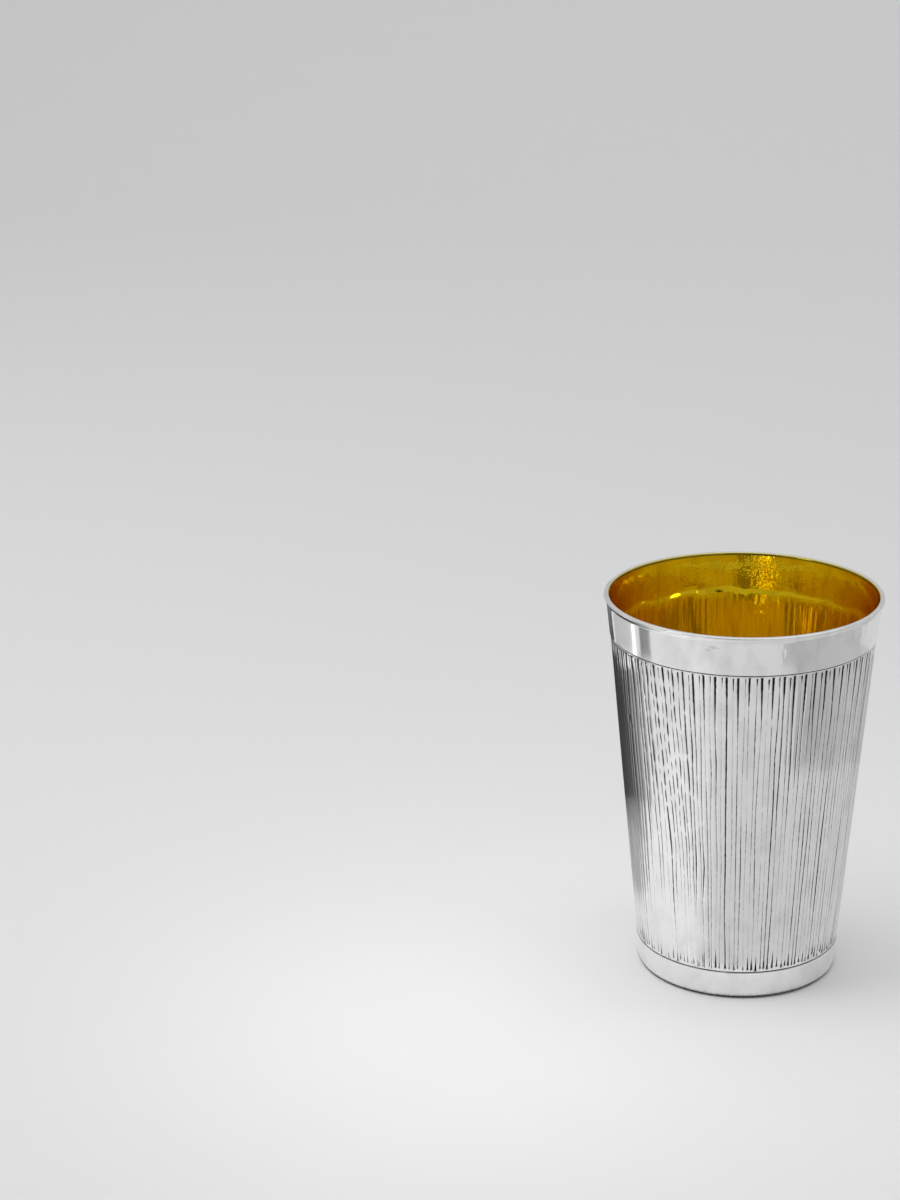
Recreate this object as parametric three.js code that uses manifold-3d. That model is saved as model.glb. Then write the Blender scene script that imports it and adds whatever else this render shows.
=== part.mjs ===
// A kiddush cup: a footless silver beaker that tapers to its base. A plain polished band runs under the
// lip, another round the base, and the wall between them is chased with upright bark-like lines in pairs.
// Millimetres, +Z up. The origin is the middle of the underside, and -Y is the front.
import * as THREE from "three";
import { mergeVertices } from "three/addons/utils/BufferGeometryUtils.js";
import Module from "manifold-3d";

// Driving dimensions
const HEIGHT = 86;
const RIM_RADIUS = 30.2; // to the widest part of the lip
const FOOT_WALL = 0.95; // thickness of the metal at the foot, from which it thins upwards
const UPPER_WALL = 0.65; // thickness at the top of the chased wall
const LIP = 1.15; // thickness of the rounded edge at the mouth
const LINE_PAIRS = 74; // chased lines stand in pairs, one deep and one shallow

// The outside, from the table up
const FOOT_RADIUS = 20.9; // where the rounded edge leaves the table
const FOOT_INNER_RADIUS = 18.4;
const UNDERSIDE_RECESS = 0.8;
const EDGE_HEIGHT = 1.5; // the rounded edge is this tall
const EDGE_RADIUS = 21.9; // radius at its top
const BASE_LINE_Z = 6.5; // fine engraved line over the base band
const BASE_LINE_RADIUS = 22.36;
const RIM_LINE_Z = 77.2; // fine engraved line under the rim band
const RIM_LINE_RADIUS = 28.85;
const RIM_STEP = 0.18; // the chased wall lies this far behind the band above it
const BASE_STEP = 0.06; // and this far behind the band below it
const STEP_HEIGHT = 0.25;
const LIP_HEIGHT = 1.7; // the band swells to the rounded edge over this height
const BAND_TOP_RADIUS = 29.62; // radius where the swell starts

// The inside, which steps in a little behind the top of the chasing
const LEDGE_TOP_Z = 78.4;
const LEDGE_TOP_RADIUS = 28.3;
const LEDGE_BOTTOM_Z = 75.2;
const FLOOR_TOP_Z = UNDERSIDE_RECESS + FOOT_WALL;
const FLOOR_FILLET = 2.4;
const CURVE_STEPS = 2;

// The chased lines, each a flat-bottomed cut with a broader end at the top. A line starts up to bottomReach
// above the lower ring, and stops topGap short of the upper ring and up to topReach lower still.
const DEEP = { depth: 0.35, topWidth: 0.62, width: 0.36, endWidth: 0.55, steps: 3 };
const DEEP_ENDS = { bottomReach: 1.5, topGap: 0, topReach: 0.4 };
const SHALLOW = { depth: 0.2, topWidth: 0.4, width: 0.28, endWidth: 0.35, steps: 2 };
const SHALLOW_ENDS = { bottomReach: 2.5, topGap: 0.5, topReach: 1.5 };
const PAIR_SPREAD = 1.0; // between the two lines of a pair
const LINE_END_GAP = 0.35; // plain metal between a line's end and the engraved rings
const WANDER = 0.14; // how far a line strays to either side
const CUTTER_CLEARANCE = 0.4; // each cutter starts this far outside the wall
const SCATTER = { line: 12.9898, question: 78.233, spread: 43758.5453 }; // any fixed odd numbers serve
const MERGE_WITHIN = 1e-4; // corners closer than this are one corner

const wasm = await Module();
wasm.setup();

function solidOf(geometry) {
  const plain = geometry.clone();
  for (const name of ["normal", "uv"]) plain.deleteAttribute(name);
  const merged = mergeVertices(plain, MERGE_WITHIN);
  return new wasm.Manifold(
    new wasm.Mesh({
      numProp: 3,
      vertProperties: merged.attributes.position.array,
      triVerts: new Uint32Array(merged.index.array),
    }),
  );
}

function geometryOf(solid) {
  const mesh = solid.getMesh();
  const geometry = new THREE.BufferGeometry();
  geometry.setAttribute("position", new THREE.BufferAttribute(mesh.vertProperties, 3));
  geometry.setIndex(new THREE.BufferAttribute(mesh.triVerts, 1));
  geometry.computeVertexNormals();
  return geometry;
}

// Radius of the chased wall at height z.
function chasedRadius(z) {
  const share = (z - BASE_LINE_Z) / (RIM_LINE_Z - BASE_LINE_Z);
  return THREE.MathUtils.lerp(BASE_LINE_RADIUS - BASE_STEP, RIM_LINE_RADIUS - RIM_STEP, share);
}

// The metal's section from the axis under the floor, up the outside, over the lip and down the inside.
function sectionPath() {
  const bandTopZ = HEIGHT - LIP_HEIGHT;
  const widestZ = HEIGHT - LIP / 2;
  const innerFootRadius = EDGE_RADIUS - FOOT_WALL;

  const path = new THREE.Path();
  path.moveTo(0, UNDERSIDE_RECESS);
  path.lineTo(FOOT_INNER_RADIUS - UNDERSIDE_RECESS, UNDERSIDE_RECESS);
  path.lineTo(FOOT_INNER_RADIUS, 0);
  path.lineTo(FOOT_RADIUS, 0);
  path.quadraticCurveTo(EDGE_RADIUS, 0, EDGE_RADIUS, EDGE_HEIGHT);
  path.lineTo(BASE_LINE_RADIUS, BASE_LINE_Z);
  path.lineTo(chasedRadius(BASE_LINE_Z + STEP_HEIGHT), BASE_LINE_Z + STEP_HEIGHT);
  path.lineTo(chasedRadius(RIM_LINE_Z - STEP_HEIGHT), RIM_LINE_Z - STEP_HEIGHT);
  path.lineTo(RIM_LINE_RADIUS, RIM_LINE_Z);
  path.lineTo(BAND_TOP_RADIUS, bandTopZ);

  path.quadraticCurveTo(BAND_TOP_RADIUS, (bandTopZ + widestZ) / 2, RIM_RADIUS, widestZ);
  path.quadraticCurveTo(RIM_RADIUS, HEIGHT, RIM_RADIUS - LIP / 2, HEIGHT);
  path.quadraticCurveTo(RIM_RADIUS - LIP, HEIGHT, RIM_RADIUS - LIP, widestZ);

  path.lineTo(LEDGE_TOP_RADIUS, LEDGE_TOP_Z);
  path.lineTo(chasedRadius(LEDGE_BOTTOM_Z) - UPPER_WALL, LEDGE_BOTTOM_Z);
  path.lineTo(innerFootRadius, FLOOR_TOP_Z + FLOOR_FILLET);
  path.quadraticCurveTo(innerFootRadius, FLOOR_TOP_Z, innerFootRadius - FLOOR_FILLET, FLOOR_TOP_Z);
  path.lineTo(0, FLOOR_TOP_Z);
  return path;
}

// The turned form has one flat facet for each pair of lines.
function turnedBeaker() {
  const geometry = new THREE.LatheGeometry(sectionPath().getPoints(CURVE_STEPS), LINE_PAIRS);
  geometry.rotateX(Math.PI / 2);
  return solidOf(geometry);
}

// How far the middle of a facet of the chased wall lies from the axis.
function facetRadius(z) {
  return chasedRadius(z) * Math.cos(Math.PI / LINE_PAIRS);
}

// A repeatable number from 0 to 1 for each line and each thing asked about it.
function chance(line, question) {
  const mixed = Math.sin(line * SCATTER.line + question * SCATTER.question) * SCATTER.spread;
  return mixed - Math.floor(mixed);
}

// The plan of one line, across (x) and up the wall (y). The line slims with the wall towards the base, and
// sways to either side by an amount that dies away at the top.
function linePlan(line, cut, length, sideways) {
  const slimming = BASE_LINE_RADIUS / RIM_LINE_RADIUS;
  const left = [];
  const right = [];
  for (let step = 0; step <= cut.steps; step += 1) {
    const share = step / cut.steps;
    const slim = THREE.MathUtils.lerp(slimming, 1, share);
    const sway = Math.sin(2 * Math.PI * (share + chance(line, 1))) * (1 - share ** 4);
    const x = sideways + WANDER * sway;
    let width = cut.width;
    if (step === 0) width = cut.endWidth;
    if (step === cut.steps) width = cut.topWidth;
    left.push(new THREE.Vector2(x - (width * slim) / 2, share * length));
    right.unshift(new THREE.Vector2(x + (width * slim) / 2, share * length));
  }
  return new THREE.Shape([...right, ...left]);
}

// A cutter for one line: its plan, stood against the wall's facet at this angle and pushed in to its depth.
function lineCutter(line, cut, sideways, angle, bottomZ, topZ) {
  const lean = (facetRadius(RIM_LINE_Z) - facetRadius(BASE_LINE_Z)) / (RIM_LINE_Z - BASE_LINE_Z);
  const plan = linePlan(line, cut, (topZ - bottomZ) * Math.hypot(1, lean), sideways);
  const settings = { depth: cut.depth + CUTTER_CLEARANCE, bevelEnabled: false };
  const geometry = new THREE.ExtrudeGeometry(plan, settings);
  geometry.translate(0, 0, -cut.depth);

  const outward = new THREE.Vector3(Math.sin(angle), -Math.cos(angle), 0);
  const across = new THREE.Vector3(Math.cos(angle), Math.sin(angle), 0);
  const upWall = outward.clone().multiplyScalar(lean);
  upWall.z = 1;
  upWall.normalize();
  const place = new THREE.Matrix4().makeBasis(across, upWall, across.clone().cross(upWall));
  place.setPosition(outward.multiplyScalar(facetRadius(bottomZ)).setZ(bottomZ));
  geometry.applyMatrix4(place);
  return solidOf(geometry);
}

function chase(beaker) {
  const lowest = BASE_LINE_Z + STEP_HEIGHT + LINE_END_GAP;
  const highest = RIM_LINE_Z - STEP_HEIGHT - LINE_END_GAP;
  const kinds = [{ ...DEEP, ...DEEP_ENDS }, { ...SHALLOW, ...SHALLOW_ENDS }];
  let chased = beaker;
  for (let pair = 0; pair < LINE_PAIRS; pair += 1) {
    const angle = ((pair + 0.5) * 2 * Math.PI) / LINE_PAIRS;
    for (const [side, cut] of kinds.entries()) {
      const bottomZ = lowest + cut.bottomReach * chance(pair, 2 + side);
      const topZ = highest - cut.topGap - cut.topReach * chance(pair, 4 + side);
      chased = chased.subtract(lineCutter(pair, cut, PAIR_SPREAD * (0.5 - side), angle, bottomZ, topZ));
    }
  }
  return chased;
}

const silver = new THREE.MeshStandardMaterial({ color: 0xe9e8e4, metalness: 1, roughness: 0.14 });

const beaker = new THREE.Mesh(geometryOf(chase(turnedBeaker())), silver);
beaker.name = "beaker";

const kiddushCup = new THREE.Group();
kiddushCup.add(beaker);

export default kiddushCup;
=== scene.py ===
import math

import bpy
import numpy as np
from mathutils import Euler, Matrix, Vector


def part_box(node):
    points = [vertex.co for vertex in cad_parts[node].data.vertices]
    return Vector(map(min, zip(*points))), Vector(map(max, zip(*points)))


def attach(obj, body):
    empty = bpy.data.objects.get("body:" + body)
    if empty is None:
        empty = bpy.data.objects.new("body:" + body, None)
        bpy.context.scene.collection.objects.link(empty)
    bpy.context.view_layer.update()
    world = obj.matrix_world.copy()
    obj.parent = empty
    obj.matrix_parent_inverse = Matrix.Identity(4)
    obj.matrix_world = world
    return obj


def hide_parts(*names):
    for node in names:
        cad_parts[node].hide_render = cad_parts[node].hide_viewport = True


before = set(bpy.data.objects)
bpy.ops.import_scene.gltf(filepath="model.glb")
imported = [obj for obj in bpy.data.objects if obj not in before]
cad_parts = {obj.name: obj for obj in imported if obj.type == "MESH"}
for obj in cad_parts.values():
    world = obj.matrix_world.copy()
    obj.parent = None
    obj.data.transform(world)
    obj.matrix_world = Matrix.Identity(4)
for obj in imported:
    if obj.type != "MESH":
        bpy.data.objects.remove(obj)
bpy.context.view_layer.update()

# A kiddush cup: a silver beaker, gilt inside, chased all round with upright lines. Lengths are in
# millimetres and become metres where they enter the scene. -Y is the front, and angles run from there
# towards +X.
MM = 0.001
NODE = "beaker"

box_low, box_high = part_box(NODE)
HEIGHT = box_high.z / MM
RIM_RADIUS = (box_high.y - box_low.y) / 2 / MM

# The profile
WALL = 0.95  # at the foot
WALL_ABOVE = 0.6  # at the top of the chased wall
LIP = 1.15  # thickness of the edge at the mouth
LIP_HEIGHT = 1.5  # the band ends this far below the top
LIP_SWELL = ((0.25, 0.06), (0.5, 0.3), (0.75, 0.75))  # shares of the way up to the edge, and out
LIP_CORNER = 0.38  # radius of the edge's outer corner
INNER_CORNER = 0.3  # and of its inner one
BAND_TOP_RADIUS = RIM_RADIUS - 0.58
RIM_LINE_Z = HEIGHT - 8.8
RIM_LINE_RADIUS = 28.85
BASE_LINE_Z = 6.5
BASE_LINE_RADIUS = 22.36
EDGE_HEIGHT = 1.5  # the rounded lower edge
EDGE_RADIUS = 21.9
FOOT_RADIUS = 20.9
FOOT_INNER_RADIUS = 18.4
UNDERSIDE_RECESS = 0.8
# The recess's edge: distances out from the inner radius, and shares of its depth there
RECESS_EDGE = ((-1.6, 1), (-0.8, 0.7), (-0.3, 0.2), (0.2, 0))
FLOOR_FILLET = 2.4
CHASED_IN = 0.18  # the chased wall lies this far behind the band above it
CHASED_IN_BELOW = 0.06  # and this far behind the one below
RING_LINE_WIDTH = 0.4
RING_LINE_DEPTH = 0.14
RING_LINE_LIP = 0.01  # the metal lies this much back just below a ring line, and proud just above
RING_LINE_LIP_WIDTH = (0.12, 0.1)  # below the line and above it
OUT_OF_ROUND = 0.035  # the broad unevenness of the hand-raised sheet
HAMMERED = 0.006  # and the close one
LEDGE_TOP_Z = RIM_LINE_Z + 0.8  # inside, the wall steps in where the chasing starts
LEDGE_HEIGHT = 1.6
LEDGE_WAVE = 0.7  # how far the ledge wanders up and down
LEDGE_BULGE = 0.02  # how far it is pushed inwards, in broad waves
LEDGE_UNEVEN = 0.009  # and how unevenly at each line
LEDGE_ROOM = 1.0  # the plain part above the ledge ends this far above it, clear of its waves
RIBS_DROP = 0.2  # the ribs start this far below it
INNER_TOP_RADIUS = RIM_RADIUS - LIP
INNER_LEAN = 0.1  # how much the inside of the rim band widens for each unit of height
LIP_DARK_REFLECTION = 0.6  # a painted dark reflection at the edge's inner corner
INNER_EDGE_DARK_REFLECTION = ((0.12, 1.0), (0.3, 0.3), (0.5, 0.0))  # inside: a painted dark reflection under the edge, as depths below the edge and how dark there
# painted shade under the cup, on the recess and on the ring that it stands on
UNDERSIDE_PAINTED_SHADE = 0.4
FOOT_EDGE_PAINTED_SHADE = 1.05  # painted contact shade, which fades up the rounded edge

# The chased lines: each pair is a shallow one and a deep one to its right
PAIRS = 74
LINES = 2 * PAIRS
PAIR_SPREAD = 1.0  # between the two lines of a pair
END_GAP = 0.3  # a line ends at least this far from the middle of the ring line
BOTH_GAPS = 1.0  # about what its two gaps come to
END_ROW = 0.45  # the mesh's rows are this far apart near the ends of the lines
MIDDLE_ROW = 0.78  # and this far between them
ROW_EASE = 5  # over this height the one turns into the other
PLAIN_ROW = 0.12  # a plain row lies this far beyond the lines' ends
DEEPEST = 0.14
NARROWEST = 0.08
WIDEST = 0.8
WIDENING = 0.85  # the power by which a cut widens as it deepens
CROWDING = 0.4  # to each side, a cut takes at most this share of the way to the next line
BURR = 0.008  # metal pushed up beside a cut
SWELL = 0.01  # the metal left between two cuts rises this much
SWELL_VARIES = 0.001
BLACKENING = 4.5  # how soon a cut is black all through as it deepens
BLACK_BESIDE = 0.15  # the metal beside a cut takes this share of its black
COLUMN_GAP = 0.2  # on the plain parts, the columns beside a line are this far from it
RIB = 0.055  # the height of the soft ribs that the lines raise inside
RIB_WIDTH = 0.6
RIB_ROWS = 3  # inside, the mesh has a row for every third one outside
RIBS_FROM_ROW = 5  # and they start above this one
SETTLED_ROWS = 9  # the ledge's waves die away over so many rows
STRAY = 0.11  # how far a stroke usually strays to a side
FLOW = 0.22 / 6  # how far groups of lines bend to a side for each unit that the cup tapers
SHORT_STROKE = (2.4, 5.5)  # the shortest and the longest stroke where they are broken
WHOLE_ADDS = (4, 13)  # and what is added to each where the strokes join up
BROKEN_FROM = 16  # the strokes get shorter from this height above the foot band
BROKEN_FULLY = 42  # and are shortest from this one
BROKEN_AT_DEG = (-38, 95, 215)  # where the chaser's strokes are short and don't join
BROKEN_SPREAD_DEG = 16
LEAN = 2.4  # how far the lines there lean to one side on their way down
LEAN_DONE = 42  # over this height
RUBBED_AWAY = 0.85  # how much of a line is gone at most
RUBBED = (  # where the lines are rubbed down: angle and height, then the reach sideways and upwards
    (4, 69.0, 2.2, 0.6),
    (14, 65.5, 2.8, 1.0),
    (9, 34.0, 2.6, 0.7),
    (50, 33.0, 2.0, 2.2),
    (128, 52.0, 3.0, 1.0),
    (-118, 41.0, 2.6, 1.2),
    (-38, 14.0, 10.0, 9.0),
    (150, 20.0, 8.0, 7.0),
)

SILVER = (0.93, 0.93, 0.925, 1)
# black for the oxide in the cuts and ring lines, and for the painted shade at the foot and the painted
# dark reflection inside the rim
BLACK_PATINA_AND_SHADE = (0.012, 0.012, 0.013, 1)
HAZE = (0.81, 0.81, 0.81, 1)  # silver where it is less clean
GOLD = (0.905, 0.73, 0.085, 1)
PALE_GOLD = (0.92, 0.755, 0.105, 1)
BROWN_GOLD = (0.7, 0.54, 0.055, 1)
# Places on the gilding: angle, radius and height, then the reach sideways and upwards
LEDGE_DARK_SPOT = (-168.5, 27.5, 77.25, 1.5, 0.5)  # a dark spot on the ledge
LEDGE_PAINTED_HIGHLIGHT = (-166.2, 27.4, 77.3, 0.8, 0.25)  # a silver dash on the ledge: a painted highlight
PLANISHED = (172, INNER_TOP_RADIUS, HEIGHT - 5, 7, 14)  # where the hammer's marks show most
NICKS = (  # small dents outside: angle and height, then the reach sideways and upwards
    (17, 82.0, 0.5, 1.5),
    (18.5, 81.2, 0.3, 0.8),
    (-11.5, 83.6, 1.6, 0.5),
    (-13.5, 82.9, 0.8, 0.35),
    (35, 80.3, 0.45, 0.45),
    (52, 84.0, 1.2, 0.4),
    (-2, 79.5, 0.5, 0.3),
    (140, 81.0, 0.6, 0.9),
    (-100, 80.6, 0.9, 0.5),
    (-61, 61.5, 0.9, 1.6),
    (-58.5, 60.0, 0.5, 0.9),
)

rng = np.random.default_rng(11)


def new_object(name, data):
    """A new object, put in the scene."""
    made = bpy.data.objects.new(name, data)
    bpy.context.scene.collection.objects.link(made)
    return made


class Beaker:
    """Closed rings of vertices, each joined to the one before.

    A ring has as many vertices as the last one, or half or twice as many.
    """

    def __init__(self):
        self.rings = []
        self.faces = []
        self.gilt = []
        self.count = 0
        self.last = None

    def add(self, angles, radius, z, patina=0.0, worked=0.0, gilt=False):
        """One ring. Every value but gilt may be one for all of it, or one for each angle."""
        ring = np.zeros((len(angles), 5))
        ring[:, 0] = radius * np.sin(angles)
        ring[:, 1] = -radius * np.cos(angles)
        ring[:, 2] = z
        ring[:, 3] = patina
        ring[:, 4] = worked
        here = self.count + np.arange(len(angles))
        self.rings.append(ring)
        self.count += len(angles)
        if self.last is not None:
            self.join(self.last, here, gilt)
        self.last = here

    def join(self, old, new, gilt):
        """The faces between two rings: four-sided ones, or triangles where the counts differ."""
        old_next = np.roll(old, -1)
        new_next = np.roll(new, -1)
        if len(old) == len(new):
            faces = [np.column_stack((old, old_next, new_next, new))]
        elif len(old) == 2 * len(new):
            a, b, c = old[0::2], old[1::2], old_next[1::2]
            corners = ((a, b, new), (b, new_next, new), (b, c, new_next))
            faces = [np.column_stack(triangle) for triangle in corners]
        else:
            a, b, c = new[0::2], new[1::2], new_next[1::2]
            corners = ((old, b, a), (old, old_next, b), (old_next, c, b))
            faces = [np.column_stack(triangle) for triangle in corners]
        for block in faces:
            self.faces += block.tolist()
            self.gilt += [gilt] * len(block)

    def pole(self, z, gilt, start):
        """Closes the last ring, or the first one when start is true, with a fan to the axis."""
        rim = np.arange(len(self.rings[0])) if start else self.last
        middle = self.count
        self.rings.append(np.array([[0, 0, z, 0, 0]]))
        self.count += 1
        after = np.roll(rim, -1)
        centre = np.full(len(rim), middle)
        fan = (centre, after, rim) if start else (rim, after, centre)
        self.faces += np.column_stack(fan).tolist()
        self.gilt += [gilt] * len(rim)

    def build(self, name, materials):
        """The object, with the first material outside and the second on the gilt faces."""
        points = np.vstack(self.rings)
        mesh = bpy.data.meshes.new(name)
        mesh.from_pydata((points[:, :3] * MM).tolist(), [], self.faces)
        for material in materials:
            mesh.materials.append(material)
        mesh.polygons.foreach_set("material_index", np.array(self.gilt, dtype=np.int32))
        mesh.polygons.foreach_set("use_smooth", np.ones(len(self.faces), dtype=bool))
        # the patina attribute holds the oxide in the cuts and lines, and painted shade at the foot and
        # under the edge
        for column, label in ((3, "patina"), (4, "worked")):
            layer = mesh.attributes.new(label, "FLOAT", "POINT")
            layer.data.foreach_set("value", points[:, column].astype(np.float32))
        mesh.validate()
        return new_object(name, mesh)


def waves(angles, z, numbers, seed):
    """A smooth field from -1 to 1 round the cup, the mean of a few waves.

    numbers holds, for each, how often it goes round the cup and how fast it turns with height.
    """
    phases = np.random.default_rng(seed).uniform(0, 2 * np.pi, (len(numbers), 2))
    total = 0.0
    for (around, up), (phase, turn) in zip(numbers, phases):
        total = total + np.sin(around * angles + phase + up * z + np.sin(2 * angles + turn))
    return total / len(numbers)


def broken_share(angle):
    """1 in the middle of a stretch where the strokes are short, 0 away from it."""
    degrees = math.degrees(angle)
    apart = min(abs((degrees - at + 180) % 360 - 180) for at in BROKEN_AT_DEG)
    return math.exp(-((apart / BROKEN_SPREAD_DEG) ** 2))


def brokenness(up):
    """How far the strokes are broken up at this height above the foot band, from 0 to 1."""
    return np.clip((up - BROKEN_FROM) / (BROKEN_FULLY - BROKEN_FROM), 0, 1)


def hand_raised(angles, z):
    """The hammered sheet is never quite round: an offset of the radius."""
    broad = waves(angles, z, ((3, 0.05), (5, -0.09), (8, 0.13)), 1)
    close = waves(angles, z, ((17, 0.31), (23, -0.43), (31, 0.37)), 2)
    return OUT_OF_ROUND * broad + HAMMERED * close


class ChasedLines:
    """Where each line runs, and how strongly it is cut, at every height."""

    def __init__(self, length, rows):
        self.from_bottom = rows
        self.length = length
        lines = np.arange(LINES)
        self.deep = lines % 2 == 1
        self.pair_angle = (lines // 2 + 0.5) * 2 * np.pi / PAIRS
        self.side = np.where(self.deep, 0.5, -0.5) * PAIR_SPREAD
        self.bottom = END_GAP + rng.uniform(0, 0.5, LINES) + rng.exponential(0.22, LINES)
        self.top = END_GAP + np.where(self.deep, 0.2, 0.6) * rng.uniform(0.1, 1.0, LINES)
        self.broken = np.array([broken_share(angle) for angle in self.pair_angle])
        self.stray = np.zeros((LINES, len(rows)))
        self.strength = np.zeros((LINES, len(rows)))
        for line in lines:
            self.cut(line)
        for place in RUBBED:
            self.rub(*place)

    def cut(self, line):
        """Cuts one line: a row of strokes of uneven weight, with a bold head and a short tail."""
        broken = self.broken[line]
        up = self.from_bottom
        down = self.length - up
        joints = [-rng.uniform(0, 4)]  # where one stroke ends and the next one starts
        while joints[-1] < self.length:
            whole = 1 - broken * brokenness(joints[-1])
            shortest = SHORT_STROKE[0] + WHOLE_ADDS[0] * whole
            longest = SHORT_STROKE[1] + WHOLE_ADDS[1] * whole
            joints.append(joints[-1] + rng.uniform(shortest, longest))
        joints = np.array(joints)
        middles = (joints[1:] + joints[:-1]) / 2
        self.stray[line] = np.interp(up, middles, rng.normal(0, STRAY, len(middles)))
        self.stray[line] += LEAN * broken * np.minimum(1, down / LEAN_DONE)
        weights = rng.uniform(0.25, 1.1, len(middles)) + rng.exponential(0.32, len(middles))
        weights = np.interp(up, middles, weights)
        from_joint = np.abs(up[:, None] - joints[None, :]).min(axis=1)
        broken = broken * brokenness(up)
        gap = 0.3 + 0.7 * broken
        gap_length = 0.4 + 0.35 * broken
        strokes = 1 - gap * np.exp(-((from_joint / gap_length) ** 2))

        if self.deep[line]:
            body = 0.24 + 0.12 * rng.exponential()
            head = np.exp(-((down / rng.uniform(5, 14)) ** 1.3))
        else:
            body = (0.22 + 0.08 * rng.exponential()) * (0.4 + 0.6 * np.clip(down / 20, 0, 1))
            head = rng.uniform(0.3, 0.8) * np.exp(-((down / rng.uniform(1.2, 3.2)) ** 1.5))
        tail = rng.uniform(0.3, 1.0) * np.exp(-((up / rng.uniform(1.0, 3.0)) ** 1.5))
        fuller = 0.58 + 0.4 * (up / self.length) ** 1.5
        body = (np.maximum(0.12, body) * weights + 0.2 * broken) * strokes * fuller
        head = head * (1 - 0.2 * (1 - strokes) - 0.6 * broken * (1 - strokes))
        ragged = 1 + 0.06 * rng.normal(size=len(up))
        self.strength[line] = np.clip(np.maximum(np.maximum(body, head), tail) * ragged, 0, 1)

    def rub(self, degrees, z, half_width, half_height):
        """Wears the lines down round a place on the wall."""
        off = (self.pair_angle - math.radians(degrees) + np.pi) % (2 * np.pi) - np.pi
        across = (off * wall_radius(z) + self.side) / half_width
        up = (BASE_LINE_Z + self.from_bottom - z) / half_height
        worn = np.exp(-((across[:, None] ** 2 + up[None, :] ** 2) ** 2))
        self.strength *= 1 - RUBBED_AWAY * worn * rng.uniform(0.4, 1, LINES)[:, None]


def row_heights(length, end_step, middle_step, ease):
    """Heights of the mesh's rows up the chased wall, closer together near both ends of the lines."""
    rows = [0.0]
    while rows[-1] < length:
        from_end = max(0.0, min(rows[-1], length - rows[-1]))
        rows.append(rows[-1] + end_step + (middle_step - end_step) * min(1, from_end / ease))
    return np.array(rows) * length / rows[-1]


def column_angles(lines, radius, stray, half_width):
    """Angles of the mesh's columns: each line's left lip, bottom and right lip, and the land beyond."""
    flow = FLOW * waves(lines.pair_angle, 0, ((5, 0), (9, 0), (14, 0)), 3)
    middle = lines.pair_angle + (lines.side + stray + flow * (RIM_LINE_RADIUS - radius)) / radius
    to_next = np.roll(middle, -1) - middle
    to_next[-1] += 2 * np.pi
    room = np.maximum(0.001, CROWDING * np.minimum(to_next, np.roll(to_next, 1)))
    half_turn = np.minimum(half_width / radius, room)
    left = middle - half_turn
    right = middle + half_turn
    next_left = np.roll(left, -1)
    next_left[-1] += 2 * np.pi
    return np.column_stack((left, middle, right, (right + next_left) / 2)).ravel()


def spread(lip, bottom, land):
    """One value for each column, from those for each line's lips, its bottom and the land beside it."""
    return np.column_stack((lip, bottom, lip, land)).ravel()


def along(values):
    """Values at each line, carried across the land to the next line."""
    return np.column_stack((values, values, values, (values + np.roll(values, -1)) / 2)).ravel()


def share_up(z):
    """0 at the lower ring line and 1 at the upper one."""
    return (z - BASE_LINE_Z) / (RIM_LINE_Z - BASE_LINE_Z)


def wall_radius(z):
    """A straight taper from one ring line to the other."""
    return BASE_LINE_RADIUS + (RIM_LINE_RADIUS - BASE_LINE_RADIUS) * share_up(z)


def chased_radius(z):
    """The wall between the lines, which the chasing has driven in a little."""
    return wall_radius(z) - (CHASED_IN_BELOW + (CHASED_IN - CHASED_IN_BELOW) * share_up(z))


def inner_radius(z, raised=0.0):
    """The inside: the rim band above the ledge, which may be raised, and the chased wall below it."""
    above = INNER_TOP_RADIUS - INNER_LEAN * (HEIGHT - z)
    below = chased_radius(z) - WALL + (WALL - WALL_ABOVE) * share_up(z)
    share = np.clip((LEDGE_TOP_Z + raised - z) / LEDGE_HEIGHT, 0, 1)
    return above + (below - above) * share ** 2 * (3 - 2 * share)


def add_underside(beaker, angles):
    """The recess underneath, the ring that the cup stands on, and the rounded lower edge, with painted
    shade underneath and up the edge.
    """
    beaker.add(angles, FOOT_INNER_RADIUS / 2, UNDERSIDE_RECESS, patina=UNDERSIDE_PAINTED_SHADE)
    for out, share in RECESS_EDGE:
        beaker.add(angles, FOOT_INNER_RADIUS + out, UNDERSIDE_RECESS * share, patina=UNDERSIDE_PAINTED_SHADE)
    beaker.add(angles, FOOT_RADIUS, 0.0, patina=UNDERSIDE_PAINTED_SHADE)
    steps = 5
    for step in range(1, steps + 1):
        turn = math.radians(90 * step / steps)
        radius = FOOT_RADIUS + (EDGE_RADIUS - FOOT_RADIUS) * math.sin(turn)
        # painted contact shade, darkest where the edge meets the floor
        dark = FOOT_EDGE_PAINTED_SHADE * (1 - step / steps)
        beaker.add(angles, radius, EDGE_HEIGHT * (1 - math.cos(turn)), patina=dark)


def add_ring_line(beaker, angles, z, lower_radius, upper_radius):
    """A fine engraved line round the cup, between two surfaces."""
    half = RING_LINE_WIDTH / 2
    out = hand_raised(angles, z)
    black = 0.9 + 0.1 * waves(angles, z, ((7, 0), (19, 0), (37, 0)), 4)
    bottom = min(lower_radius, upper_radius) - RING_LINE_DEPTH
    below, above = RING_LINE_LIP_WIDTH
    beaker.add(angles, lower_radius + out - RING_LINE_LIP, z - half - below)
    beaker.add(angles, lower_radius + out, z - half)
    beaker.add(angles, bottom + out, z, patina=black)
    beaker.add(angles, upper_radius + out, z + half)
    beaker.add(angles, upper_radius + out + RING_LINE_LIP, z + half + above)


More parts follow.
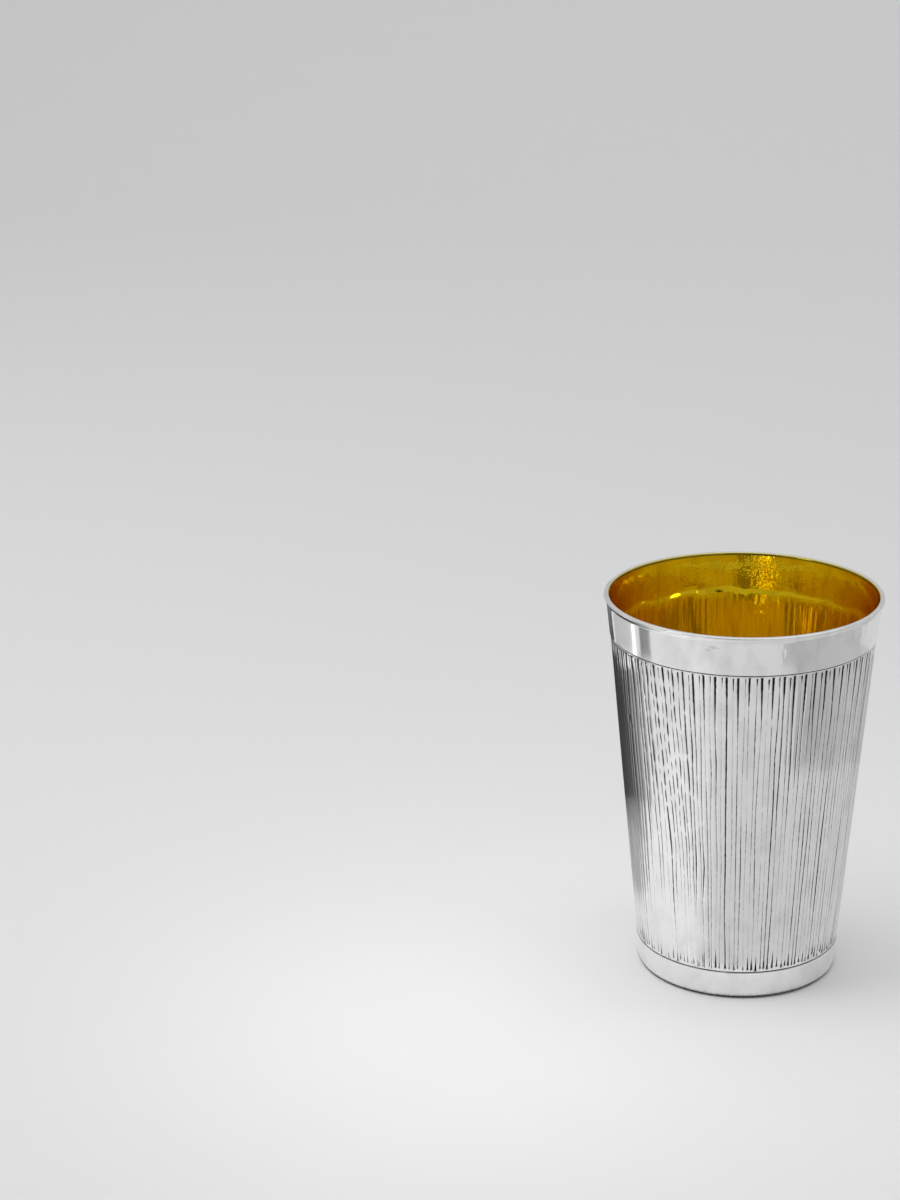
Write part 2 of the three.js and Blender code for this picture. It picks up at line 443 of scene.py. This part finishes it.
def add_chased_wall(beaker, lines):
    """The lines, row by row, with a plain row below the first and above the last."""
    bottom = BASE_LINE_Z + lines.bottom
    top = RIM_LINE_Z - lines.top
    jitter = np.random.default_rng(12)
    rows = len(lines.from_bottom)
    for row in range(-1, rows + 1):
        inside = 0 <= row < rows
        at = min(max(row, 0), rows - 1)
        shape = lines.strength[:, at]
        strength = shape if inside else np.zeros(LINES)
        share = lines.from_bottom[at] / lines.length
        height = bottom + share * (top - bottom) + (0 if inside else PLAIN_ROW * np.sign(row))
        z = along(height)
        half_width = (NARROWEST + (WIDEST - NARROWEST) * shape ** WIDENING) / 2
        angles = column_angles(lines, chased_radius(height), lines.stray[:, at], half_width)
        patina = 1 - np.exp(-BLACKENING * strength)
        swell = SWELL + SWELL_VARIES * jitter.normal(size=LINES)
        relief = spread(BURR * strength, -DEEPEST * strength, swell)
        dark = spread(BLACK_BESIDE * patina, patina, np.zeros(LINES))
        radius = chased_radius(z) + relief + hand_raised(angles, z)
        beaker.add(angles, radius, z, patina=dark, worked=1.0)


def add_rim_band(beaker, angles):
    """The plain band between the upper ring line and the edge at the mouth."""
    bottom = RIM_LINE_Z + RING_LINE_WIDTH / 2
    steps = 7
    for step in range(1, steps + 1):
        share = step / steps
        z = bottom + (HEIGHT - LIP_HEIGHT - bottom) * share
        radius = RIM_LINE_RADIUS + (BAND_TOP_RADIUS - RIM_LINE_RADIUS) * share
        beaker.add(angles, radius + hand_raised(angles, z), z)


def add_lip(beaker, angles):
    """A flat edge with rounded corners, which stands a little proud of the band below it."""
    outside = RIM_RADIUS - LIP_CORNER
    inside = INNER_TOP_RADIUS + INNER_CORNER
    swell = LIP_HEIGHT - LIP_CORNER
    for rise, share in LIP_SWELL:
        z = HEIGHT - LIP_HEIGHT + swell * rise
        radius = BAND_TOP_RADIUS + (RIM_RADIUS - BAND_TOP_RADIUS) * share
        beaker.add(angles, radius + hand_raised(angles, z) * (1 - share), z)
    steps = 4
    for step in range(steps + 1):
        turn = math.radians(90 * step / steps)
        z = HEIGHT - LIP_CORNER * (1 - math.sin(turn))
        beaker.add(angles, outside + LIP_CORNER * math.cos(turn), z)
    for step in range(steps + 1):
        turn = math.radians(90 * step / steps)
        radius = inside - INNER_CORNER * math.sin(turn)
        z = HEIGHT - INNER_CORNER * (1 - math.cos(turn))
        beaker.add(angles, radius, z, patina=LIP_DARK_REFLECTION * step / steps, gilt=step > 1)


def add_inner_band(beaker, angles):
    """The inside of the rim, with a painted dark reflection as a thin line under the edge."""
    top = HEIGHT - INNER_CORNER
    # a painted dark reflection: a thin dark line just under the edge
    for drop, patina in INNER_EDGE_DARK_REFLECTION:
        beaker.add(angles, inner_radius(top - drop), top - drop, patina=patina, gilt=True)
    steps = 6
    for step in range(1, steps + 1):
        z = top + (LEDGE_TOP_Z + LEDGE_ROOM - top) * step / steps
        beaker.add(angles, inner_radius(z) + hand_raised(angles, z) * step / steps, z, gilt=True)


def add_inner_ribs(beaker, lines):
    """Inside, the chasing shows as a wavy ledge and soft ribs, the other side of each line."""
    rough = np.random.default_rng(13)
    half_width = np.full(LINES, RIB_WIDTH / 2)
    around = column_angles(lines, RIM_LINE_RADIUS - WALL, lines.stray[:, -1], half_width)
    wave = LEDGE_WAVE * waves(around, 0, ((5, 0), (9, 0), (16, 0)), 6)
    pushed = LEDGE_BULGE * waves(around, 0, ((6, 0), (13, 0), (21, 0)), 7)
    pushed += along(LEDGE_UNEVEN * rough.normal(size=LINES))
    steps = 7
    for step in range(steps):
        share = step / steps
        z = LEDGE_TOP_Z + wave - LEDGE_HEIGHT * share
        radius = inner_radius(z, wave) + hand_raised(around, z) - pushed * math.sin(math.pi * share)
        beaker.add(around, radius, z, gilt=True)
    rows = len(lines.from_bottom)
    bottom = BASE_LINE_Z + lines.bottom
    top = LEDGE_TOP_Z - LEDGE_HEIGHT - RIBS_DROP
    for row in range(rows - 1, RIBS_FROM_ROW, -RIB_ROWS):
        share = lines.from_bottom[row] / lines.length
        height = bottom + share * (top - bottom)
        z = along(height)
        under_ledge = row - rows + SETTLED_ROWS
        if under_ledge > 0:
            z = z + wave * under_ledge / (SETTLED_ROWS - 1)
        rib = RIB * lines.strength[:, row]
        angles = column_angles(lines, inner_radius(height), lines.stray[:, row], half_width)
        relief = spread(0.6 * rib, rib, 0.1 * rib)
        radius = inner_radius(z, wave) + hand_raised(angles, z) - relief
        beaker.add(angles, radius, z, worked=1.0, gilt=True)


def add_inner_floor(beaker, angles):
    """The rounded corner at the bottom of the inside, and the flat floor."""
    floor_z = UNDERSIDE_RECESS + WALL
    inner = EDGE_RADIUS - WALL
    steps = 4
    for step in range(steps + 1):
        turn = math.radians(90 * step / steps)
        radius = inner - FLOOR_FILLET * (1 - math.cos(turn))
        z = floor_z + FLOOR_FILLET * (1 - math.sin(turn))
        beaker.add(angles if step == 0 else angles[::2], radius, z, gilt=True)
    beaker.add(angles[::2], (inner - FLOOR_FILLET) * 0.5, floor_z, gilt=True)


def make_beaker(silver, gilding):
    """The whole cup: from the underside up the outside, over the edge and down to the floor."""
    length = RIM_LINE_Z - BASE_LINE_Z - BOTH_GAPS
    lines = ChasedLines(length, row_heights(length, END_ROW, MIDDLE_ROW, ROW_EASE))
    fine = column_angles(lines, RIM_LINE_RADIUS, np.zeros(LINES), np.full(LINES, COLUMN_GAP))
    coarse = fine[::2]
    beaker = Beaker()
    add_underside(beaker, coarse[::2])
    for share in (0.33, 0.66):
        z = EDGE_HEIGHT + (BASE_LINE_Z - EDGE_HEIGHT) * share
        radius = EDGE_RADIUS + (BASE_LINE_RADIUS - EDGE_RADIUS) * share
        beaker.add(coarse, radius + hand_raised(coarse, z), z)
    add_ring_line(beaker, fine, BASE_LINE_Z, BASE_LINE_RADIUS, BASE_LINE_RADIUS - CHASED_IN_BELOW)
    add_chased_wall(beaker, lines)
    add_ring_line(beaker, fine, RIM_LINE_Z, RIM_LINE_RADIUS - CHASED_IN, RIM_LINE_RADIUS)
    add_rim_band(beaker, coarse)
    add_lip(beaker, coarse)
    add_inner_band(beaker, coarse)
    add_inner_ribs(beaker, lines)
    add_inner_floor(beaker, coarse)
    beaker.pole(UNDERSIDE_RECESS, False, start=True)
    beaker.pole(UNDERSIDE_RECESS + WALL, True, start=False)
    piece = beaker.build("chased_beaker", (silver, gilding))
    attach(piece, "root")
    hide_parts(NODE)


def node(tree, kind, inputs=(), **attributes):
    """A shader node with its settings and inputs. An input is a value, or the socket that feeds it."""
    made = tree.nodes.new("ShaderNode" + kind)
    for name, value in attributes.items():
        setattr(made, name, value)
    for name, value in dict(inputs).items():
        if isinstance(value, bpy.types.NodeSocket):
            tree.links.new(value, made.inputs[name])
        else:
            made.inputs[name].default_value = value
    return made


def new_material(name):
    """A material, its node tree and its main shader."""
    material = bpy.data.materials.new(name)
    material.use_nodes = True
    tree = material.node_tree
    return material, tree, tree.nodes["Principled BSDF"]


def attribute(tree, name):
    """The value that the mesh carries under this name."""
    return node(tree, "Attribute", attribute_name=name).outputs["Fac"]


def remap(tree, value, start, end, low=0.0, high=1.0):
    """A value stretched so that start to end becomes low to high, and stops there."""
    settings = {"Value": value, "From Min": start, "From Max": end, "To Min": low, "To Max": high}
    return node(tree, "MapRange", settings).outputs[0]


def mix(tree, share, first, second):
    """The first colour, or value, turning into the second as share goes from 0 to 1."""
    return node(tree, "MixRGB", {"Fac": share, "Color1": first, "Color2": second}).outputs[0]


def times_plus(tree, value, factor, plus, clamp=False):
    """value * factor + plus, which clamp keeps between 0 and 1."""
    settings = {0: value, 1: factor, 2: plus}
    return node(tree, "Math", settings, operation="MULTIPLY_ADD", use_clamp=clamp).outputs[0]


def bump(tree, height, strength, depth, normal=None, invert=False):
    """The normal of a surface with this much relief, on top of another normal if there is one."""
    settings = {"Height": height, "Strength": strength, "Distance": depth * MM}
    if normal is not None:
        settings["Normal"] = normal
    return node(tree, "Bump", settings, invert=invert).outputs[0]


def noise_at(tree, scale, detail=3.0, stretch=(1, 1, 1)):
    """Noise over the object, finer as scale grows, which is in features to the metre."""
    place = node(tree, "TexCoord").outputs["Object"]
    stretched = node(tree, "Mapping", {"Vector": place, "Scale": stretch}).outputs["Vector"]
    return node(tree, "TexNoise", {"Vector": stretched, "Scale": scale, "Detail": detail}).outputs["Fac"]


def spot(tree, degrees, radius, z, across, up):
    """1 at a place on the wall, falling to 0 at its reach sideways and upwards."""
    turn = math.radians(degrees)
    centre = Vector((radius * math.sin(turn), -radius * math.cos(turn), z)) * MM
    stretch = Vector((1 / across, 1 / across, 1 / up)) / MM
    place = node(tree, "TexCoord").outputs["Object"]
    off = node(tree, "VectorMath", {0: place, 1: centre}, operation="SUBTRACT").outputs[0]
    scaled = node(tree, "VectorMath", {0: off, 1: stretch}, operation="MULTIPLY").outputs[0]
    length = node(tree, "VectorMath", {0: scaled}, operation="LENGTH").outputs["Value"]
    fall = {"Value": length, "To Min": 1.0, "To Max": 0.0}
    return node(tree, "MapRange", fall, interpolation_type="SMOOTHSTEP").outputs[0]


def nicks(tree):
    """The depth of the small dents, from 0 to 1."""
    total = 0.0
    for degrees, z, across, up in NICKS:
        radius = BAND_TOP_RADIUS if z > RIM_LINE_Z else wall_radius(z)
        dent = spot(tree, degrees, radius, z, across, up)
        total = node(tree, "Math", {0: dent, 1: total}, operation="ADD").outputs[0]
    return total


def silver_material():
    """Polished silver with a faint haze and grain, black where the mesh's patina and its painted shade say
    so.
    """
    material, tree, shader = new_material("silver")
    dents = nicks(tree)

    ragged = noise_at(tree, 3200, 3.0, (1, 1, 0.35))
    # the mesh's patina also holds painted shade at the foot and the edge; the dents are darkened a little
    # too
    darkened = times_plus(tree, dents, 0.3, attribute(tree, "patina"))
    black = remap(tree, times_plus(tree, ragged, 0.5, darkened), 0.45, 0.85)
    haze = remap(tree, noise_at(tree, 300, 5.0, (1, 1, 0.6)), 0.45, 0.75)
    colour = mix(tree, black, mix(tree, haze, SILVER, HAZE), BLACK_PATINA_AND_SHADE)
    tree.links.new(colour, shader.inputs["Base Color"])
    shader.inputs["Metallic"].default_value = 1.0

    rough = remap(tree, noise_at(tree, 120), 0.3, 0.7, 0.07, 0.13)
    tree.links.new(times_plus(tree, black, 0.3, rough), shader.inputs["Roughness"])

    upright = noise_at(tree, 1500, 2.0, (1, 1, 0.12))
    level = noise_at(tree, 1500, 2.0, (0.12, 0.12, 1))
    grain = mix(tree, attribute(tree, "worked"), level, upright)
    grained = bump(tree, grain, 0.04, 0.05)
    dented = bump(tree, dents, 1.0, 0.08, grained, invert=True)
    tree.links.new(dented, shader.inputs["Normal"])
    return material


def gilt_material():
    """Burnished gilding, with duller brown streaks down the ribs, a dark spot, a silver dash as a painted
    highlight, and a painted dark reflection under the edge.
    """
    material, tree, shader = new_material("gilding")
    streaks = noise_at(tree, 900, 3.0, (1, 1, 0.08))
    worked = attribute(tree, "worked")

    clean = mix(tree, noise_at(tree, 180), GOLD, PALE_GOLD)
    streaked = mix(tree, remap(tree, streaks, 0.48, 0.68, 0.0, worked), clean, BROWN_GOLD)
    # the dark spot on the ledge, and the painted dark reflection that the patina attribute carries under
    # the edge
    dark = times_plus(tree, spot(tree, *LEDGE_DARK_SPOT), 1.5, attribute(tree, "patina"), clamp=True)
    darkened = mix(tree, dark, streaked, BLACK_PATINA_AND_SHADE)
    # a painted highlight: the gilding turns silver in a small dash
    painted_highlight = times_plus(tree, spot(tree, *LEDGE_PAINTED_HIGHLIGHT), 2.0, 0.0, clamp=True)
    tree.links.new(mix(tree, painted_highlight, darkened, SILVER), shader.inputs["Base Color"])
    shader.inputs["Metallic"].default_value = 1.0

    rough = remap(tree, streaks, 0.3, 0.7, 0.03, 0.05)
    tree.links.new(times_plus(tree, worked, 0.035, rough), shader.inputs["Roughness"])

    burnished = bump(tree, streaks, 0.1, 0.1)
    marks = noise_at(tree, 1200, 2.0, (1, 1, 0.6))
    strength = times_plus(tree, spot(tree, *PLANISHED), 1.2, 0.3)
    planished = bump(tree, marks, strength, 0.05, burnished)
    tree.links.new(planished, shader.inputs["Normal"])
    return material


def card_material():
    """A glow as bright as the card's own tone at each place: painted light and shade for the reflections.
    """
    material, tree, shader = new_material("card")
    shader.inputs["Base Color"].default_value = (0, 0, 0, 1)
    shader.inputs["Specular IOR Level"].default_value = 0
    tree.links.new(attribute(tree, "tone"), shader.inputs["Emission Color"])
    shader.inputs["Emission Strength"].default_value = 1
    return material


def paper_material():
    material, tree, shader = new_material("paper")
    shader.inputs["Base Color"].default_value = PAPER_GREY
    shader.inputs["Roughness"].default_value = 0.9
    return material


# The camera, a short telephoto, looks down on the cup, which stands right of the picture's middle
CAMERA_BACK = 556.3
CAMERA_UP = 268.8
CAMERA_DOWN_DEG = 18.37
CAMERA_LEFT_DEG = 6.54
CAMERA_ROLL_DEG = -0.79
LENS_MM = 81.0
SENSOR_MM = 36.0
CAMERA_SEES_FROM = 10

ROOM_GREY = (0.5, 0.5, 0.5, 1)
PAPER_GREY = (0.8, 0.8, 0.8, 1)
BOUNCES = 16  # of light, so that the inside of the cup mirrors itself deeply enough

# Lights: name, place, target, width and height, and power in watts
LIGHTS = (
    ("left_softbox", (-300, -50, 450), (-60, 0, 0), (300, 300), 0.28),
    ("left_pool", (-56, -40, 110), (-38, -24, 0), (50, 50), 0.037),
    ("right_pool", (115, 20, 140), (55, 0, 0), (80, 80), 0.035),
    ("back_softbox", (-500, 200, 500), (-60, 100, 0), (400, 400), 0.35),
    ("ceiling", (0, 400, 1600), (0, 200, 0), (2000, 2000), 8.6),
)

# Glowing cards that only the polished metal sees, painted reflections of the light and shade round the
# cup:
# name, bearings of the two ends, distance and height of the lower edge and of the upper one, tones of the
# lower edge at both ends and of the upper one, and how far the lower edge drops from one end to the other
CARDS = (
    ("left_foot", (-175, -104), (42, 0.5), (50, 0.5), (0.7, 0.7), (0.46, 0.46), 0),
    ("left_near", (-175, -101), (50, 0.5), (75, 0.5), (0.46, 0.46), (0.42, 0.42), 0),
    ("left_floor", (-175, -98), (75, 0.5), (95, 0.5), (0.42, 0.42), (0.05, 0.25), 0),
    ("left_low", (-175, -118), (95, 0.5), (95, 41), (0.05, 0.08), (0.03, 0.05), 0),
    ("left_low_end", (-118, -84), (95, 0.5), (95, 38), (0.08, 0.5), (0.05, 0.5), 0),
    ("left_edge", (-175, -131), (95, 41), (95, 62), (0.04, 0.06), (0.25, 0.3), 0),
    ("left_line", (-131, -129), (95, 41), (95, 80), (1, 1), (1, 1), 0),
    ("left_panel", (-127, -98), (95, 41), (95, 80), (0.5, 0.56), (0.55, 0.6), 0),
    ("left_window", (-97, -92.5), (95, 38), (95, 80), (1.5, 1.5), (1.5, 1.5), 0),
    ("left_strip", (-87, -75), (95, 39), (95, 80), (0.2, 0.3), (0.3, 0.4), 0),
    ("front_floor", (-40, -14), (33, 0.5), (165, 0.5), (0.8, 0.61), (0.8, 0.68), 0),
    ("right_floor", (-14, 165), (33, 0.5), (165, 0.5), (0.61, 0.56), (0.68, 0.56), 0),
    ("right_low", (44, 103), (115, 1), (115, 26), (0.42, 0.48), (0.43, 0.5), 0),
    ("right_high", (31, 108), (114, 27), (114, 70), (0.46, 0.5), (0.5, 0.54), 6),
    ("right_edge", (108, 165), (114, 3), (114, 34), (0.48, 0.5), (0.52, 0.55), 0),
    ("front_room", (-30, 18), (300, 110), (300, 300), (0.2, 0.2), (0.2, 0.2), 0),
    ("front_window", (-62, -48), (300, 160), (300, 189), (4.2, 4.2), (4.2, 4.2), 0),
    ("high_walls", (-180, 180), (420, 250), (420, 500), (0.62, 0.62), (0.62, 0.62), 0),
    ("overhead", (-180, 180), (250, 336), (10, 520), (0.85, 0.85), (0.85, 0.85), 0),
)


def add_camera():
    data = bpy.data.cameras.new("camera")
    data.lens = LENS_MM
    data.sensor_width = SENSOR_MM
    data.clip_start = CAMERA_SEES_FROM * MM
    camera = new_object("camera", data)
    camera.location = Vector((0, -CAMERA_BACK, CAMERA_UP)) * MM
    look = Euler((math.radians(90 - CAMERA_DOWN_DEG), 0, math.radians(CAMERA_LEFT_DEG)))
    roll = Matrix.Rotation(math.radians(CAMERA_ROLL_DEG), 3, "Z")
    camera.rotation_euler = (look.to_matrix() @ roll).to_euler()
    bpy.context.scene.camera = camera


def add_backdrop():
    """A sheet of pale paper: flat under the cup, then swept up behind it."""
    front, bend, radius, top, side = -1600, 900, 500, 2200, 2500
    section = [(front, 0), (front / 4, 0), (0, 0), (bend, 0)]
    steps = 12
    for step in range(1, steps + 1):
        turn = math.radians(90 * step / steps)
        section.append((bend + radius * math.sin(turn), radius * (1 - math.cos(turn))))
    section.append((bend + radius, top))
    points = [(x * MM, y * MM, z * MM) for y, z in section for x in (-side, side)]
    faces = [(2 * i, 2 * i + 1, 2 * i + 3, 2 * i + 2) for i in range(len(section) - 1)]
    mesh = bpy.data.meshes.new("backdrop")
    mesh.from_pydata(points, [], faces)
    mesh.polygons.foreach_set("use_smooth", [True] * len(faces))
    mesh.materials.append(paper_material())
    new_object("backdrop", mesh)


def add_card(material, name, bearings, lower, upper, lower_tones, upper_tones, drop):
    """A curved glowing card between two bearings from the cup, which only polished metal sees: a painted
    reflection.
    """
    steps = 12
    points = []
    tones = []
    for step in range(steps + 1):
        share = step / steps
        turn = math.radians(bearings[0] + (bearings[1] - bearings[0]) * share)
        dropped = (lower[0], lower[1] - drop * share)
        for (distance, height), ends in ((dropped, lower_tones), (upper, upper_tones)):
            x = distance * math.sin(turn)
            y = -distance * math.cos(turn)
            points.append((x * MM, y * MM, height * MM))
            tones.append(ends[0] + (ends[1] - ends[0]) * share)
    faces = [(2 * i, 2 * i + 2, 2 * i + 3, 2 * i + 1) for i in range(steps)]
    mesh = bpy.data.meshes.new(name)
    mesh.from_pydata(points, [], faces)
    mesh.attributes.new("tone", "FLOAT", "POINT").data.foreach_set("value", tones)
    mesh.materials.append(material)
    card = new_object(name, mesh)
    card.visible_camera = False
    card.visible_diffuse = False
    card.visible_shadow = False


def add_light(name, place, target, size, watts):
    """A soft light that the metal doesn't mirror."""
    data = bpy.data.lights.new(name, "AREA")
    data.shape = "RECTANGLE"
    data.size = size[0] * MM
    data.size_y = size[1] * MM
    data.energy = watts
    light = new_object(name, data)
    light.location = Vector(place) * MM
    light.visible_glossy = False
    aim = Vector(target) * MM - light.location
    light.rotation_euler = aim.to_track_quat("-Z", "Y").to_euler()


def add_world():
    world = bpy.data.worlds.new("studio")
    world.use_nodes = True
    world.node_tree.nodes["Background"].inputs["Color"].default_value = ROOM_GREY
    bpy.context.scene.world = world


add_camera()
add_backdrop()
add_world()
for row in LIGHTS:
    add_light(*row)
glow = card_material()
for row in CARDS:
    add_card(glow, *row)
make_beaker(silver_material(), gilt_material())
bpy.context.scene.view_settings.view_transform = "Standard"
bpy.context.scene.cycles.max_bounces = BOUNCES
bpy.context.scene.cycles.glossy_bounces = BOUNCES
